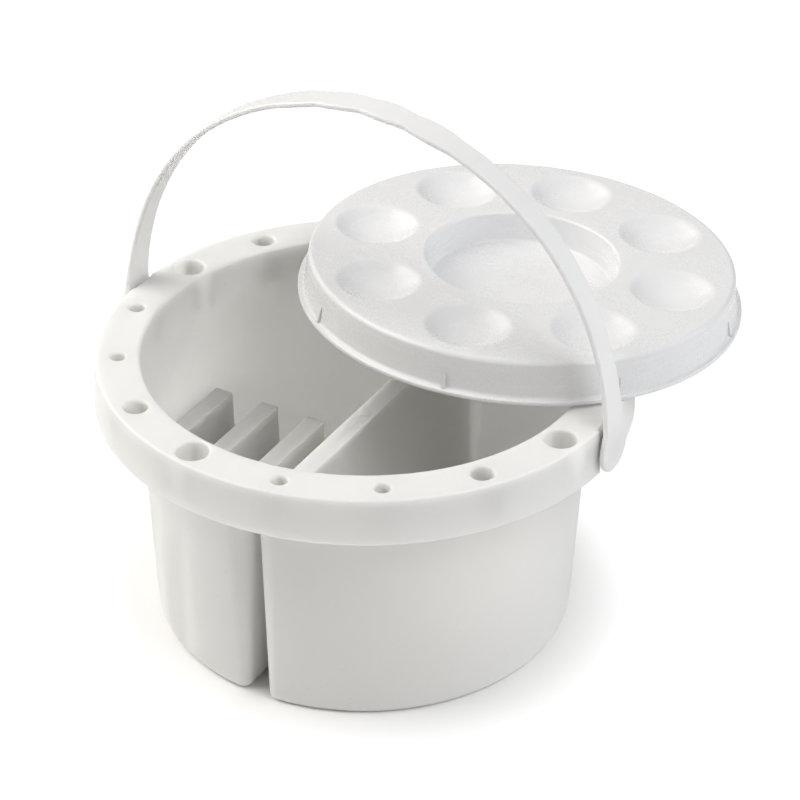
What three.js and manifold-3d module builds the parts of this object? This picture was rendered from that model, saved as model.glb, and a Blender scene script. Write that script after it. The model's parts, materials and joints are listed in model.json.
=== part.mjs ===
// A brush washer: a round tub whose floor is split into two cups, a rim with a ring of brush
// sockets, a bail handle, and a palette lid that lies askew across the rim.
// Millimetres, +Z up. The tub stands on z = 0, the handle's studs lie along X, and the divider
// between the two cups runs along Y.
import * as THREE from "three";
import { mergeVertices } from "three/addons/utils/BufferGeometryUtils.js";
import Module from "manifold-3d";

// Tub
const TUB_HEIGHT = 109;
const OPENING_RADIUS = 83.5; // inside of the tub at the rim
const WALL = 2.1; // side walls, ribs and both skins of the divider
const WALL_DRAFT = 0.048; // how much the inside closes in for each millimetre of depth
const FLOOR = 2.5;
const FOOT_ROUNDING = 3; // outer edge round the underside of each cup
const FLOOR_ROUNDING = 2; // inner edge round the floor of each cup
const CUP_CORNER_AT_FOOT = 2; // upright corners of the cups, measured inside
const CUP_CORNER_AT_DIVIDER_TOP = 6;
const SHARPEST_CORNER = 0.5;

// Rim: a hollow channel, open below, between the tub's wall and an outer band
const RIM_RADIUS = 100;
const BAND_HEIGHT = 18;
const BAND_DRAFT = 0.06; // how much the band flares for each millimetre down
const BAND_WALL = 2.2;
const RIM_TOP = 2.2;
const RIM_OUTER_EDGE = 0.8;
const RIM_INNER_EDGE = 1.2;

// Brush sockets, in this order of size from the right stud round to the left one, and again
const SOCKET_DIAMETERS = [5.7, 5.7, 8.6, 12, 5.7, 5.7, 8.6, 12];
const SOCKET_RING_RADIUS = 91.8;
const SOCKET_DEPTH = 14.5;
const SOCKET_WALL = 1.5;
const SOCKET_MOUTH = 1; // rounding of each mouth

// Divider: two skins under one top strip, with a slot between them that is open below
const DIVIDER_DROP = 28.8; // from the rim down to the strip
const DIVIDER_WIDTH = 7.5; // of the strip
const DIVIDER_DRAFT = 0.03; // how much each skin leans out for each millimetre down

// Scrub ribs in the left cup, hollow from below
const RIB_COUNT = 3;
const RIB_DROP = 51.2; // from the rim down to the ribs' tops
const RIB_WIDTH = 7.4;
const RIB_PITCH = 21.1;
const FIRST_RIB_FROM_CENTRE = 31.9;
const RIB_END = 16.5; // how far the ribs reach past the middle of the tub
const RIB_DRAFT = 0.02;

// Handle
const PIVOT_DROP = 9; // from the rim down to the studs
const HANDLE_RISE = 108.1; // from the studs to the inside of the arch
const STRAP_THICKNESS = 2;
const LEG_HEIGHT = 4; // upright part of each leg above the studs
const LEG_LEAN = 0.08; // how far a leg leans in for each millimetre up
const LEG_REACH = 88.4; // how long the leg keeps that lean; longer squares the arch's shoulders
const CROWN_REACH = 25.6; // how far the crown stays level to each side; longer flattens it
const LUG_RADIUS = 9.8;
const STRAP_WIDTH_AT_RIM = 13.8;
const STRAP_WIDTH_AT_TOP = 10.4;
const STRAP_TAPER_LENGTH = 13.2; // height in which most of the width is lost
const GRIP_LOBES = 4;
const GRIP_PITCH = 18;
const GRIP_BULGE = 1;
const SHOULDER_AT = 63; // how far out from the middle the legs stop tapering
const STUD_RADIUS = 3.2;
const STUD_LIP = 0.9; // how far the snap lip stands out from the stud
const STUD_TIP = 1.8; // length of the cone beyond the lip
const RECESS_DEPTH = 1.3; // upright flat in the band behind each lug
const RECESS_WIDTH = 12.6;
const LUG_GAP = 0.6; // between each lug and the lower edge of the band

// Palette lid
const LID_HEIGHT = 15.8;
const LID_TOP_RADIUS = 81.9;
const LID_SKIRT_RADIUS = 83.2; // where the skirt meets the flange
const LID_SKIN = 1.8;
const LID_FLOOR_SKIN = 1.5; // under the centre well
const LID_EDGE = 2;
const FLANGE_RADIUS = 85.5;
const FLANGE_THICKNESS = 1.8;
const WELL_COUNT = 8;
const WELL_RADIUS = 15.7;
const WELL_DEPTH = 6;
const WELL_RING_RADIUS = 59.9;
const CENTRE_WELL_RADIUS = 37;
const CENTRE_WELL_DEPTH = 12;
const CENTRE_WELL_DRAFT = 1; // how much narrower its floor is than its mouth
const CENTRE_WELL_EDGE = 1.2;
const GUSSET_WIDTH = 1.4;
const GUSSET_HEIGHT = 6;

// How the lid lies on the rim
const LID_OFFSET = 73.1;
const LID_DIRECTION = 65.75; // degrees from +X
const FIRST_WELL_DIRECTION = 8.06;

// Fits
const REST_GAP = 0.3; // between faces that touch
const STUD_CLEARANCE = 0.35; // round each stud

// Facets
const ROUND_FACETS = 80; // of the tub's and the lid's full circles
const CUP_FACETS = 30; // of each cup's curved wall
const CORNER_FACETS = 4;
const EDGE_FACETS = 2; // of a small rounded edge
const SOCKET_FACETS = 16;
const WELL_FACETS = 16;
const ARCH_FACETS = 24; // in half of the handle

// Heights and radii that follow from the sizes
const bandBottom = TUB_HEIGHT - BAND_HEIGHT;
const channelTop = TUB_HEIGHT - RIM_TOP;
const dividerTop = TUB_HEIGHT - DIVIDER_DROP;
const slotRoof = dividerTop - WALL;
const ribTop = TUB_HEIGHT - RIB_DROP;
const pivotHeight = TUB_HEIGHT - PIVOT_DROP;
const bandRadius = (z) => RIM_RADIUS + BAND_DRAFT * (TUB_HEIGHT - z);
const insideRadius = (z) => OPENING_RADIUS - WALL_DRAFT * (TUB_HEIGHT - z);
const dividerHalf = (z) => DIVIDER_WIDTH / 2 + DIVIDER_DRAFT * (dividerTop - z);
const cupCorner = (z) =>
  THREE.MathUtils.lerp(CUP_CORNER_AT_FOOT, CUP_CORNER_AT_DIVIDER_TOP, z / dividerTop);
const lidFloorUnderside = LID_HEIGHT - CENTRE_WELL_DEPTH - LID_FLOOR_SKIN;
const lugInside = bandRadius(bandBottom) + LUG_GAP;
const recessFloor = RIM_RADIUS - RECESS_DEPTH;
const OVERLAP = 1; // how far joined solids run into each other, and cutters past a face

const wasm = await Module();
wasm.setup();

// A closed geometry as a solid that can be joined and cut.
function solid(geometry) {
  const bare = geometry.clone();
  bare.deleteAttribute("normal");
  bare.deleteAttribute("uv");
  const merged = mergeVertices(bare, 1e-4);
  return new wasm.Manifold(
    new wasm.Mesh({
      numProp: 3,
      vertProperties: merged.attributes.position.array,
      triVerts: new Uint32Array(merged.index.array),
    }),
  );
}

// A solid as a mesh of the scene.
function meshOf(name, body, material) {
  const { vertProperties, triVerts } = body.getMesh();
  const geometry = new THREE.BufferGeometry();
  geometry.setAttribute("position", new THREE.BufferAttribute(vertProperties, 3));
  geometry.setIndex(new THREE.BufferAttribute(triVerts, 1));
  geometry.computeVertexNormals();
  const mesh = new THREE.Mesh(geometry, material);
  mesh.name = name;
  return mesh;
}

const joined = (bodies) => bodies.reduce((all, body) => all.add(body));

// Points of a rounded edge: a quarter circle about (x, y) between two angles in degrees.
function quarter(x, y, radius, from, to, facets = EDGE_FACETS) {
  return Array.from({ length: facets + 1 }, (_, i) => {
    const angle = THREE.MathUtils.degToRad(from + ((to - from) * i) / facets);
    return new THREE.Vector2(x + radius * Math.cos(angle), y + radius * Math.sin(angle));
  });
}

// A solid of revolution about Z from a profile of (radius, height) points that runs up the
// outside and starts and ends on the axis.
function revolved(profile, facets) {
  const points = profile.map((p) => (p.isVector2 ? p : new THREE.Vector2(...p)));
  return new THREE.LatheGeometry(points, facets).rotateX(Math.PI / 2);
}

// A box between two corners.
function boxBetween([x0, y0, z0], [x1, y1, z1]) {
  return new THREE.BoxGeometry(x1 - x0, y1 - y0, z1 - z0).translate(
    (x0 + x1) / 2,
    (y0 + y1) / 2,
    (z0 + z1) / 2,
  );
}

// A solid through a stack of outlines, from the lowest up, that have the same number of points.
function loft(levels) {
  const count = levels[0].outline.length;
  const positions = levels.flatMap(({ outline, z }) => outline.flatMap((p) => [p.x, p.y, z]));
  const faces = [];
  for (let level = 0; level < levels.length - 1; level++) {
    for (let i = 0; i < count; i++) {
      const [a, b] = [level * count + i, level * count + ((i + 1) % count)];
      faces.push(a, b, b + count, a, b + count, a + count);
    }
  }
  const top = (levels.length - 1) * count;
  for (const [a, b, c] of THREE.ShapeUtils.triangulateShape(levels[0].outline, [])) {
    faces.push(a, c, b);
  }
  for (const [a, b, c] of THREE.ShapeUtils.triangulateShape(levels.at(-1).outline, [])) {
    faces.push(top + a, top + b, top + c);
  }
  const geometry = new THREE.BufferGeometry();
  geometry.setAttribute("position", new THREE.Float32BufferAttribute(positions, 3));
  geometry.setIndex(faces);
  return geometry;
}

// The outline of a cup at a height, grown outward by a distance: a circle cut off along the
// divider, with its two corners rounded. side is 1 for the right cup and -1 for the left one.
function cupOutline(side, z, grow) {
  const radius = insideRadius(z) + grow;
  const flat = dividerHalf(z) - grow;
  const corner = Math.max(cupCorner(z) + grow, SHARPEST_CORNER);
  const x = flat + corner;
  const y = Math.sqrt((radius - corner) ** 2 - x ** 2);
  const reach = Math.atan2(y, x);
  const arc = (cx, cy, r, from, to, facets) =>
    new THREE.EllipseCurve(cx, cy, r, r, from, to).getPoints(facets);
  const points = [
    ...arc(0, 0, radius, -reach, reach, CUP_FACETS),
    ...arc(x, y, corner, reach, Math.PI, CORNER_FACETS).slice(1),
    ...arc(x, -y, corner, Math.PI, 2 * Math.PI - reach, CORNER_FACETS).slice(0, -1),
  ];
  return side > 0 ? points : points.map((p) => new THREE.Vector2(-p.x, p.y)).reverse();
}

// A cup-shaped solid between two heights, grown by a distance, its lower edge rounded.
function cupSolid(side, bottom, top, grow, rounding) {
  const levels = quarter(grow - rounding, bottom + rounding, rounding, -90, 0, 3).map((p) => ({
    outline: cupOutline(side, p.y, p.x),
    z: p.y,
  }));
  levels.push({ outline: cupOutline(side, top, grow), z: top });
  return loft(levels);
}

// One rib, or the hollow under it: a drafted bar from the front wall to its own end face.
function ribBar(index, inset, bottom) {
  const x = -FIRST_RIB_FROM_CENTRE - RIB_PITCH * index;
  const top = ribTop - inset;
  const levels = [bottom, top].map((z) => {
    const lean = RIB_DRAFT * (ribTop - z) - inset;
    const half = RIB_WIDTH / 2 + lean;
    const shape = [
      new THREE.Vector2(x - half, -OPENING_RADIUS - WALL),
      new THREE.Vector2(x + half, -OPENING_RADIUS - WALL),
      new THREE.Vector2(x + half, RIB_END + lean),
      new THREE.Vector2(x - half, RIB_END + lean),
    ];
    return { outline: shape, z };
  });
  return solid(loft(levels));
}

function makeTub() {
  const wallRadius = (z) => insideRadius(z) + WALL;
  const outerEdge = quarter(
    RIM_RADIUS - RIM_OUTER_EDGE,
    TUB_HEIGHT - RIM_OUTER_EDGE,
    RIM_OUTER_EDGE,
    0,
    90,
  );
  const upperBody = revolved(
    [
      [0, slotRoof],
      [wallRadius(slotRoof), slotRoof],
      [wallRadius(channelTop), channelTop],
      [bandRadius(channelTop) - BAND_WALL, channelTop],
      [bandRadius(bandBottom) - BAND_WALL, bandBottom],
      [bandRadius(bandBottom), bandBottom],
      ...outerEdge,
      [0, TUB_HEIGHT],
    ],
    ROUND_FACETS,
  );
  const innerEdge = quarter(
    OPENING_RADIUS + RIM_INNER_EDGE,
    TUB_HEIGHT - RIM_INNER_EDGE,
    RIM_INNER_EDGE,
    180,
    90,
  );
  const roundSpace = revolved(
    [
      [0, dividerTop],
      [insideRadius(dividerTop), dividerTop],
      ...innerEdge,
      [OPENING_RADIUS + RIM_INNER_EDGE, TUB_HEIGHT + OVERLAP],
      [0, TUB_HEIGHT + OVERLAP],
    ],
    ROUND_FACETS,
  );

  const cups = [1, -1].map((side) =>
    solid(cupSolid(side, 0, slotRoof + OVERLAP, WALL, FOOT_ROUNDING)),
  );
  const spaces = [1, -1].map((side) =>
    solid(cupSolid(side, FLOOR, dividerTop + OVERLAP, 0, FLOOR_ROUNDING)),
  );

  // Ribs grow out of the left cup's floor and wall, and end inside the wall.
  const ribIndexes = Array.from({ length: RIB_COUNT }, (_, i) => i);
  const intoWall = solid(cupSolid(-1, FLOOR / 2, dividerTop, WALL / 2, FLOOR_ROUNDING));
  const ribs = joined(ribIndexes.map((i) => ribBar(i, 0, FLOOR / 2))).intersect(intoWall);
  const insideFoot = solid(
    loft([-OVERLAP, dividerTop].map((z) => ({ outline: cupOutline(-1, z, -FOOT_ROUNDING), z }))),
  );
  const ribHollows = joined(ribIndexes.map((i) => ribBar(i, WALL, -OVERLAP))).intersect(insideFoot);

  // Sockets hang in the rim's channel as closed tubes.
  const tubes = [];
  const bores = [];
  const socketCount = 2 * SOCKET_DIAMETERS.length;
  for (let i = 0; i < socketCount; i++) {
    const angle = ((i + 0.5) / socketCount) * 2 * Math.PI;
    const radius = SOCKET_DIAMETERS[i % SOCKET_DIAMETERS.length] / 2;
    const floor = TUB_HEIGHT - SOCKET_DEPTH;
    const tube = revolved(
      [
        [0, floor - SOCKET_WALL],
        [radius + SOCKET_WALL, floor - SOCKET_WALL],
        [radius + SOCKET_WALL, channelTop + RIM_TOP / 2],
        [0, channelTop + RIM_TOP / 2],
      ],
      SOCKET_FACETS,
    );
    const mouth = quarter(radius + SOCKET_MOUTH, TUB_HEIGHT - SOCKET_MOUTH, SOCKET_MOUTH, 180, 90);
    const bore = revolved(
      [
        [0, floor],
        [radius, floor],
        ...mouth,
        [radius + SOCKET_MOUTH, TUB_HEIGHT + OVERLAP],
        [0, TUB_HEIGHT + OVERLAP],
      ],
      SOCKET_FACETS,
    );
    for (const [list, shape] of [[tubes, tube], [bores, bore]]) {
      shape.rotateZ(angle);
      shape.translate(SOCKET_RING_RADIUS * Math.cos(angle), SOCKET_RING_RADIUS * Math.sin(angle), 0);
      list.push(solid(shape));
    }
  }

  // Behind each lug the band has an upright flat, a thicker pad inside and the stud's hole.
  const pads = [];
  const pivotCuts = [];
  for (const side of [1, -1]) {
    const across = RECESS_WIDTH / 2;
    const inside = recessFloor - BAND_WALL;
    const pad = boxBetween(
      [inside, -across - BAND_WALL, bandBottom],
      [recessFloor + RECESS_DEPTH / 2, across + BAND_WALL, channelTop + OVERLAP],
    );
    const flat = boxBetween(
      [recessFloor, -across, bandBottom - OVERLAP],
      [lugInside, across, TUB_HEIGHT + OVERLAP],
    );
    const hole = new THREE.CylinderGeometry(
      STUD_RADIUS + STUD_CLEARANCE,
      STUD_RADIUS + STUD_CLEARANCE,
      lugInside - inside + 2 * OVERLAP,
      SOCKET_FACETS,
    )
      .rotateZ(Math.PI / 2)
      .translate((lugInside + inside) / 2, 0, pivotHeight);
    const turn = side > 0 ? 0 : Math.PI;
    pads.push(solid(pad.rotateZ(turn)));
    pivotCuts.push(solid(flat.rotateZ(turn)), solid(hole.rotateZ(turn)));
  }

  const body = joined([solid(upperBody), ...cups, ...tubes, ...pads]);
  return body
    .subtract(joined([solid(roundSpace), ...spaces]))
    .add(ribs)
    .subtract(joined([ribHollows, ...bores, ...pivotCuts]));
}

// Three outlines, seen from the front, the side and above, that together shape the strap.
function makeHandle() {
  const lugOutside = lugInside + STRAP_THICKNESS;
  const springing = pivotHeight + LEG_HEIGHT;
  const crown = pivotHeight + HANDLE_RISE;
  const top = crown + STRAP_THICKNESS;
  const lowest = pivotHeight - LUG_RADIUS - OVERLAP;
  const deepest = LUG_RADIUS + OVERLAP;

  // The right half of the arch's inside, which leans in from the lug and levels out at the crown
  const leg = new THREE.CubicBezierCurve(
    new THREE.Vector2(lugInside, springing),
    new THREE.Vector2(lugInside - LEG_LEAN * LEG_REACH, springing + LEG_REACH),
    new THREE.Vector2(CROWN_REACH, crown),
    new THREE.Vector2(0, crown),
  );
  const rightHalf = (outwards) => [
    new THREE.Vector2(lugInside + outwards, lowest),
    ...Array.from({ length: ARCH_FACETS + 1 }, (_, i) => {
      const along = leg.getTangent(i / ARCH_FACETS);
      const normal = new THREE.Vector2(along.y, -along.x);
      return leg.getPoint(i / ARCH_FACETS).addScaledVector(normal, outwards);
    }),
  ];
  const wholeArch = (outwards) => {
    const right = rightHalf(outwards);
    const left = right.slice(0, -1).map((p) => new THREE.Vector2(-p.x, p.y));
    return [...right, ...left.reverse()];
  };
  const front = new THREE.Shape([
    ...wholeArch(STRAP_THICKNESS),
    ...wholeArch(0).reverse(),
  ]);
  const arch = new THREE.ExtrudeGeometry(front, {
    depth: 2 * deepest,
    bevelEnabled: false,
  })
    .rotateX(Math.PI / 2)
    .translate(0, deepest, 0);

  // Seen from the side the lug narrows into the strap, which tapers up to the shoulder.
  const shoulder = rightHalf(0).find((p) => p.x < SHOULDER_AT);
  const strapHalf = (z) => {
    const lost = 1 - Math.exp((TUB_HEIGHT - z) / STRAP_TAPER_LENGTH);
    return THREE.MathUtils.lerp(STRAP_WIDTH_AT_RIM, STRAP_WIDTH_AT_TOP, lost) / 2;
  };
  const lug = new THREE.EllipseCurve(
    0,
    pivotHeight,
    LUG_RADIUS,
    LUG_RADIUS,
    THREE.MathUtils.degToRad(155),
    THREE.MathUtils.degToRad(385),
  ).getPoints(18);
  const legSteps = 8;
  const rightEdge = Array.from({ length: legSteps + 1 }, (_, i) => {
    const z = THREE.MathUtils.lerp(TUB_HEIGHT, shoulder.y, i / legSteps);
    return new THREE.Vector2(strapHalf(z), z);
  });
  rightEdge.push(new THREE.Vector2(deepest, shoulder.y + OVERLAP));
  rightEdge.push(new THREE.Vector2(deepest, top + OVERLAP));
  const leftEdge = rightEdge.map((p) => new THREE.Vector2(-p.x, p.y)).reverse();
  const side = new THREE.Shape([...lug, ...rightEdge, ...leftEdge]);
  const toSide = new THREE.Matrix4().makeBasis(
    new THREE.Vector3(0, 1, 0),
    new THREE.Vector3(0, 0, 1),
    new THREE.Vector3(1, 0, 0),
  );
  const sideBar = new THREE.ExtrudeGeometry(side, {
    depth: 2 * (lugOutside + OVERLAP),
    bevelEnabled: false,
  })
    .applyMatrix4(toSide)
    .translate(-lugOutside - OVERLAP, 0, 0);

  // Seen from above the grip's edges are scalloped between the fingers.
  const gripHalf = (GRIP_LOBES * GRIP_PITCH) / 2;
  const lobeSteps = 6;
  const gripSteps = GRIP_LOBES * lobeSteps;
  const narrow = strapHalf(shoulder.y);
  const narrowTo = shoulder.x + 3 * STRAP_THICKNESS; // past the strap's slant at the shoulder
  const gripEdge = Array.from({ length: gripSteps + 1 }, (_, i) => {
    const bulge = GRIP_BULGE * Math.abs(Math.sin((Math.PI * i) / lobeSteps));
    return new THREE.Vector2(gripHalf - (i * GRIP_PITCH) / lobeSteps, narrow + bulge);
  });
  const farEdge = [
    new THREE.Vector2(lugOutside + OVERLAP, deepest),
    new THREE.Vector2(narrowTo + OVERLAP, deepest),
    new THREE.Vector2(narrowTo, narrow),
    ...gripEdge,
    new THREE.Vector2(-narrowTo, narrow),
    new THREE.Vector2(-narrowTo - OVERLAP, deepest),
    new THREE.Vector2(-lugOutside - OVERLAP, deepest),
  ];
  const nearEdge = farEdge.map((p) => new THREE.Vector2(p.x, -p.y)).reverse();
  const plan = new THREE.ExtrudeGeometry(new THREE.Shape([...farEdge, ...nearEdge]), {
    depth: top + 2 * OVERLAP - lowest,
    bevelEnabled: false,
  }).translate(0, 0, lowest - OVERLAP);

  const strap = solid(arch).intersect(solid(sideBar)).intersect(solid(plan));

  // Each stud snaps through the band and is held by a lip behind it.
  const lip = recessFloor - BAND_WALL - REST_GAP;
  const studs = [1, -1].map((end) => {
    const stud = revolved(
      [
        [0, lip - STUD_TIP],
        [STUD_RADIUS - STUD_LIP, lip - STUD_TIP],
        [STUD_RADIUS + STUD_LIP, lip - STUD_TIP / 3],
        [STUD_RADIUS + STUD_LIP, lip],
        [STUD_RADIUS, lip],
        [STUD_RADIUS, lugInside + STRAP_THICKNESS / 2],
        [0, lugInside + STRAP_THICKNESS / 2],
      ],
      SOCKET_FACETS,
    );
    stud.rotateY((end * Math.PI) / 2);
    return solid(stud.translate(0, 0, pivotHeight));
  });
  return joined([strap, ...studs]);
}

// The lid in its own frame: its flange's underside on z = 0 and its first well along +X.
function makeLid() {
  const wellFloor = LID_HEIGHT - CENTRE_WELL_DEPTH;
  const floorRadius = CENTRE_WELL_RADIUS - CENTRE_WELL_DRAFT;
  const underTop = LID_HEIGHT - LID_SKIN;
  const flangeEdge = FLANGE_THICKNESS / 4;
  const shell = revolved(
    [
      [0, lidFloorUnderside],
      [floorRadius + LID_SKIN / 2, lidFloorUnderside],
      [CENTRE_WELL_RADIUS + LID_SKIN, underTop],
      [LID_TOP_RADIUS - LID_SKIN, underTop],
      [LID_SKIRT_RADIUS - LID_SKIN, 0],
      ...quarter(FLANGE_RADIUS - flangeEdge, flangeEdge, flangeEdge, -90, 0, 1),
      ...quarter(FLANGE_RADIUS - flangeEdge, FLANGE_THICKNESS - flangeEdge, flangeEdge, 0, 90, 1),
      [LID_SKIRT_RADIUS, FLANGE_THICKNESS],
      ...quarter(LID_TOP_RADIUS - LID_EDGE, LID_HEIGHT - LID_EDGE, LID_EDGE, 0, 90, 3),
      ...quarter(
        CENTRE_WELL_RADIUS + CENTRE_WELL_EDGE,
        LID_HEIGHT - CENTRE_WELL_EDGE,
        CENTRE_WELL_EDGE,
        90,
        180,
      ),
      ...quarter(
        floorRadius - CENTRE_WELL_EDGE,
        wellFloor + CENTRE_WELL_EDGE,
        CENTRE_WELL_EDGE,
        0,
        -90,
      ),
      [0, wellFloor],
    ],
    ROUND_FACETS,
  );

  // A well is a dish of a ball's surface, and its skin is a larger ball about the same centre.
  const ballRadius = (WELL_RADIUS ** 2 + WELL_DEPTH ** 2) / (2 * WELL_DEPTH);
  const ballCentre = LID_HEIGHT - WELL_DEPTH + ballRadius;
  function cap(radius, upTo) {
    const reach = Math.acos((ballCentre - upTo) / radius);
    const rings = 3;
    const curve = Array.from({ length: rings + 1 }, (_, i) => {
      const angle = (reach * i) / rings;
      return [radius * Math.sin(angle), ballCentre - radius * Math.cos(angle)];
    });
    return revolved([...curve, [0, upTo]], WELL_FACETS);
  }
  const skins = [];
  const dishes = [];
  const gussets = [];
  for (let i = 0; i < WELL_COUNT; i++) {
    const angle = (i / WELL_COUNT) * 2 * Math.PI;
    const skin = cap(ballRadius + LID_SKIN, LID_HEIGHT - LID_SKIN / 2);
    const dish = cap(ballRadius, LID_HEIGHT + OVERLAP);
    for (const [list, shape] of [[skins, skin], [dishes, dish]]) {
      list.push(solid(shape.translate(WELL_RING_RADIUS, 0, 0).rotateZ(angle)));
    }
    const outline = new THREE.Shape([
      new THREE.Vector2(LID_SKIRT_RADIUS - LID_SKIN / 2, FLANGE_THICKNESS / 2),
      new THREE.Vector2(FLANGE_RADIUS - flangeEdge, FLANGE_THICKNESS / 2),
      new THREE.Vector2(FLANGE_RADIUS - flangeEdge, FLANGE_THICKNESS),
      new THREE.Vector2(LID_SKIRT_RADIUS, FLANGE_THICKNESS + GUSSET_HEIGHT),
      new THREE.Vector2(LID_SKIRT_RADIUS - LID_SKIN, FLANGE_THICKNESS + GUSSET_HEIGHT),
    ]);
    const gusset = new THREE.ExtrudeGeometry(outline, {
      depth: GUSSET_WIDTH,
      bevelEnabled: false,
    })
      .translate(0, 0, -GUSSET_WIDTH / 2)
      .rotateX(Math.PI / 2)
      .rotateZ(angle);
    gussets.push(solid(gusset));
  }
  return joined([solid(shell), ...skins, ...gussets]).subtract(joined(dishes));
}

// The lid's flange crosses the rim's outer edge at two points, and the underside of its centre
// well comes down on the same edge farther out. The three points give the lid's tilt and height.
function seatOnRim(lid) {
  const edge = RIM_RADIUS - RIM_OUTER_EDGE;
  const crossing = (edge ** 2 - FLANGE_RADIUS ** 2 + LID_OFFSET ** 2) / (2 * LID_OFFSET);
  const tilt = Math.asin(lidFloorUnderside / (edge - crossing));
  const height = TUB_HEIGHT + REST_GAP - Math.tan(tilt) * (LID_OFFSET - crossing);
  lid.rotation.z = THREE.MathUtils.degToRad(FIRST_WELL_DIRECTION - LID_DIRECTION);

  const tilted = new THREE.Group();
  tilted.rotation.y = tilt;
  tilted.position.set(LID_OFFSET, 0, height);
  tilted.add(lid);

  const turned = new THREE.Group();
  turned.rotation.z = THREE.MathUtils.degToRad(LID_DIRECTION);
  turned.add(tilted);
  return turned;
}

const tubPlastic = new THREE.MeshStandardMaterial({ color: 0xeceae5, roughness: 0.42 });
const handlePlastic = new THREE.MeshStandardMaterial({ color: 0xe9ebee, roughness: 0.38 });
const lidPlastic = new THREE.MeshStandardMaterial({ color: 0xf1f1f3, roughness: 0.25 });

const washer = new THREE.Group();
washer.add(
  meshOf("tub", makeTub(), tubPlastic),
  meshOf("handle", makeHandle(), handlePlastic),
  seatOnRim(meshOf("palette_lid", makeLid(), lidPlastic)),
);

// The origin is under the middle of the whole set, on the surface that the tub stands on.
const bounds = new THREE.Box3().setFromObject(washer, true);
const middle = bounds.getCenter(new THREE.Vector3());
washer.position.set(-middle.x, -middle.y, -bounds.min.z);

const part = new THREE.Group();
part.add(washer);
export default part;
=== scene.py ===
# %% [markdown]
# # A brush washer in white plastic
#
# A round tub stands on a white sweep. Its rim holds brushes, its floor is split into two cups,
# and a bail handle stands upright over it. A palette lid has been put down askew on the rim, so
# that its far side hangs over the edge. Everything is white, so the picture lives on soft
# shading: every edge needs its true rounding, and the light has to fall off where the real
# studio light did.
#
# The imported model comes first. It gives the bodies that everything rides on, and its box is
# kept.

# %% Load the imported model
import json
import math

import bmesh
import bpy
import numpy as np
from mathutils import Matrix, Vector

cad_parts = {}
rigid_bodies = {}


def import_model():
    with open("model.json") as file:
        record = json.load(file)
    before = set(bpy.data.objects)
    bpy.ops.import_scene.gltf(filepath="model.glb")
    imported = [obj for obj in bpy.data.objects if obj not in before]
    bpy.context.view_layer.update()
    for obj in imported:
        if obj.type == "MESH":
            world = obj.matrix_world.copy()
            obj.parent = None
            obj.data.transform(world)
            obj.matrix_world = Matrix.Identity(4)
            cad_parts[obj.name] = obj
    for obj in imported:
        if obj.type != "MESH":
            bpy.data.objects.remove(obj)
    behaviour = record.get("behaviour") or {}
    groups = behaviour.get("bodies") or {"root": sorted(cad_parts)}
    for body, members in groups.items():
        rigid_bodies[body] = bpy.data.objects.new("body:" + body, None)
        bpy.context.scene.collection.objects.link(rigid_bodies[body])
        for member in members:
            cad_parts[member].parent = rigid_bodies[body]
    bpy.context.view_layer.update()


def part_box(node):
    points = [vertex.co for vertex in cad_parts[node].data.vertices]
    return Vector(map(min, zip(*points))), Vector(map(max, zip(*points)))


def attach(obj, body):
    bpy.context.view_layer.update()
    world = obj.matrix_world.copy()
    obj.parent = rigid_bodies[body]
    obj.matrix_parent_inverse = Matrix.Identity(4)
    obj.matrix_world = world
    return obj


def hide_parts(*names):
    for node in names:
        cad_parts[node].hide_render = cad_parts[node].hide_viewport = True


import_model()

tub_low, tub_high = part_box("tub")
AXIS = np.array([(tub_low[0] + tub_high[0]) / 2, (tub_low[1] + tub_high[1]) / 2, 0.0])
MM = 0.001
print("tub axis, metres:", AXIS.round(4).tolist())

# %% [markdown]
# ## The real sizes
#
# These are the sizes of the moulded product in millimetres, measured from the tub's own axis.
# X runs along the handle's studs and Y along the divider. The tub's walls, the divider and the
# band all lean a little, because a moulded part has to slide out of its mould. That draft shows
# in the picture as the tub's taper.

# %% Sizes
TUB_HEIGHT = 109.0
OPENING_RADIUS = 83.5
WALL = 2.1
WALL_DRAFT = 0.048
FLOOR = 2.5
FOOT_ROUNDING = 3.0
FLOOR_ROUNDING = 2.0
CUP_CORNER_AT_FOOT = 2.0
CUP_CORNER_AT_DIVIDER_TOP = 6.0

RIM_RADIUS = 100.0
BAND_HEIGHT = 18.0
BAND_DRAFT = 0.06
BAND_WALL = 2.2
RIM_TOP = 2.2
RIM_OUTER_EDGE = 0.8
RIM_INNER_EDGE = 1.2
BAND_EDGE = 0.5

SOCKET_DIAMETERS = (5.7, 5.7, 8.6, 12.0, 5.7, 5.7, 8.6, 12.0)
SOCKET_RING_RADIUS = 91.8
SOCKET_DEPTH = 14.5
SOCKET_WALL = 1.5
SOCKET_MOUTH = 1.0

DIVIDER_TOP = TUB_HEIGHT - 28.8
DIVIDER_WIDTH = 7.5
DIVIDER_DRAFT = 0.03
GATE_DIAMETER = 4.6
GATE_HEIGHT = 0.25

RIB_TOP = TUB_HEIGHT - 51.2
RIB_WIDTH = 7.4
RIB_PITCH = 21.1
FIRST_RIB_FROM_CENTRE = 31.9
RIB_COUNT = 3
RIB_END = 16.5
RIB_DRAFT = 0.02

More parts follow.
